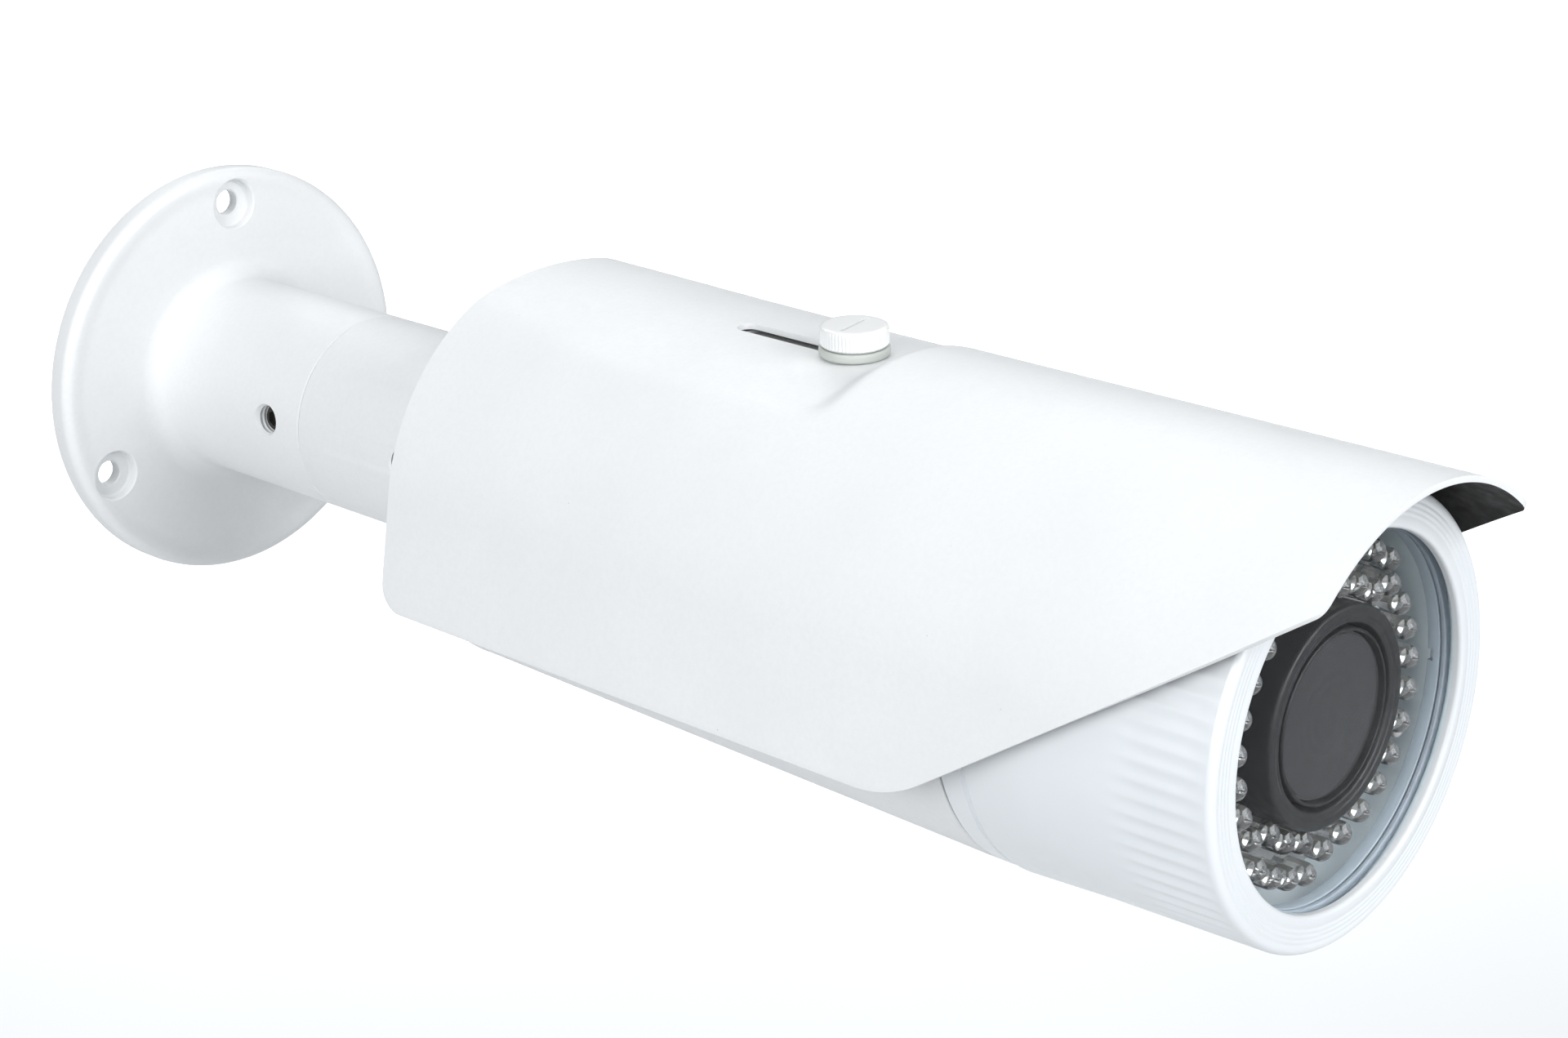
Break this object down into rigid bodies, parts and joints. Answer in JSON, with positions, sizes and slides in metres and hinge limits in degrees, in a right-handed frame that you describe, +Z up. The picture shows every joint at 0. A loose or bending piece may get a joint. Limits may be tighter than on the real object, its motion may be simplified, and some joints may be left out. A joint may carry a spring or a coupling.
{
  "type": "security camera",
  "caption": "Wall-mounted bullet security camera with a sliding sunshield, a ring of infrared diodes round the lens and a three-way bracket that hides its cable.",
  "frame": {"origin": "centre of the wall flange's back face, in the wall plane", "axes": "the camera points along -Y, +Y into the wall, +Z up"},
  "size_m": [0.1116, 0.364, 0.108],
  "materials": {
    "white_coat": "satin, fine-textured off-white powder coat",
    "cover_paint": "satin white paint, a little glossier and cooler",
    "dark_steel": "blackened steel",
    "steel": "plain steel",
    "alloy": "plain turned alloy",
    "dark_alloy": "black anodised",
    "black_plastic": "matte black",
    "grey_plastic": "satin grey",
    "rubber": "matte black",
    "clear_glass": "clear, polished",
    "lens_glass": "coated optical glass",
    "clear_resin": "clear epoxy resin",
    "circuit_board": "satin solder mask",
    "chip": "matte"
  },
  "bodies": {
    "base": {"wall_flange": "white_coat", "base_grub_screw": "dark_steel"},
    "arm": {"swivel_arm": "white_coat", "tilt_screw_left": "dark_steel", "tilt_screw_right": "dark_steel"},
    "knuckle": {"tilt_knuckle": "white_coat", "knuckle_nut": "alloy", "knuckle_seal": "rubber", "cable_grommet": "rubber"},
    "head": {"rear_cap": "white_coat", "rear_cap_screw_1": "steel", "rear_cap_screw_2": "steel", "rear_cap_screw_3": "steel", "rear_cap_screw_4": "steel", "rear_o_ring": "rubber", "housing": "white_coat", "front_o_ring": "rubber", "chassis": "alloy", "chassis_screw_1": "steel", "chassis_screw_2": "steel", "main_board": "circuit_board", "heat_spreader": "alloy", "power_board": "circuit_board", "sensor_board": "circuit_board", "image_sensor": "chip", "filter_switch": "black_plastic", "lens_mount": "alloy", "lens_barrel": "dark_alloy", "front_lens": "lens_glass", "led_board": "circuit_board", "led_array": "clear_resin", "led_standoff_1": "steel", "led_standoff_2": "steel", "led_standoff_3": "steel", "light_sensor": "grey_plastic", "lens_shroud": "black_plastic", "shield_pad": "rubber"},
    "shield": {"sunshield": "white_coat"},
    "screw_washer": {"shield_washer": "grey_plastic"},
    "thumbscrew": {"thumbscrew": "cover_paint"},
    "window": {"window_glass": "clear_glass", "window_gasket": "rubber", "window_ring": "alloy"},
    "cover": {"front_cover": "cover_paint"},
    "zoom": {"zoom_ring": "black_plastic", "zoom_lock_screw": "steel"},
    "zoom_cell": {"zoom_group": "lens_glass"},
    "focus": {"focus_ring": "black_plastic", "focus_lock_screw": "steel"},
    "filter": {"ir_cut_filter": "lens_glass"}
  },
  "joints": [
    {"name": "base_swivel", "type": "hinge", "parent": "base", "child": "arm", "pos_m": [0, -0.05, 0], "axis": [0, -1, 0], "range_deg": [-175, 175]},
    {"name": "head_tilt", "type": "hinge", "parent": "arm", "child": "knuckle", "pos_m": [0, -0.1005, 0], "axis": [0.9954, 0, -0.0958], "range_deg": [-30, 30]},
    {"name": "head_roll", "type": "hinge", "parent": "knuckle", "child": "head", "pos_m": [0, -0.124, 0], "axis": [0, -1, 0], "range_deg": [-175, 175]},
    {"name": "shield_slide", "type": "slide", "parent": "head", "child": "shield", "axis": [0, -1, 0], "range_m": [0, 0.03]},
    {"name": "thumbscrew_lift", "type": "slide", "parent": "head", "child": "screw_washer", "axis": [0, 0, 1], "range_m": [0, 0.00141]},
    {"name": "thumbscrew_turn", "type": "hinge", "parent": "screw_washer", "child": "thumbscrew", "pos_m": [0, -0.2229, 0.05], "axis": [0, 0, 1], "range_deg": [0, 720]},
    {"name": "cover_draw", "type": "slide", "parent": "head", "child": "window", "axis": [0, -1, 0], "range_m": [0, 0.0201]},
    {"name": "cover_unscrew", "type": "hinge", "parent": "window", "child": "cover", "pos_m": [0, -0.32, 0], "axis": [0, -1, 0], "range_deg": [0, 3600]},
    {"name": "zoom_turn", "type": "hinge", "parent": "head", "child": "zoom", "pos_m": [0, -0.303, 0], "axis": [0, -1, 0], "range_deg": [-45, 45]},
    {"name": "zoom_travel", "type": "slide", "parent": "head", "child": "zoom_cell", "axis": [0, -1, 0], "range_m": [-0.00401, 0.00401]},
    {"name": "focus_turn", "type": "hinge", "parent": "head", "child": "focus", "pos_m": [0, -0.3215, 0], "axis": [0, -1, 0], "range_deg": [-60, 60]},
    {"name": "filter_slide", "type": "slide", "parent": "head", "child": "filter", "axis": [1, 0, 0], "range_m": [0, 0.009]}
  ],
  "couplings": [
    {"joint": "thumbscrew_lift", "follows": "thumbscrew_turn", "m_per_rad": 0.00011141},
    {"joint": "cover_draw", "follows": "cover_unscrew", "m_per_rad": 0.00031831},
    {"joint": "zoom_travel", "follows": "zoom_turn", "m_per_rad": 0.005093}
  ]
}
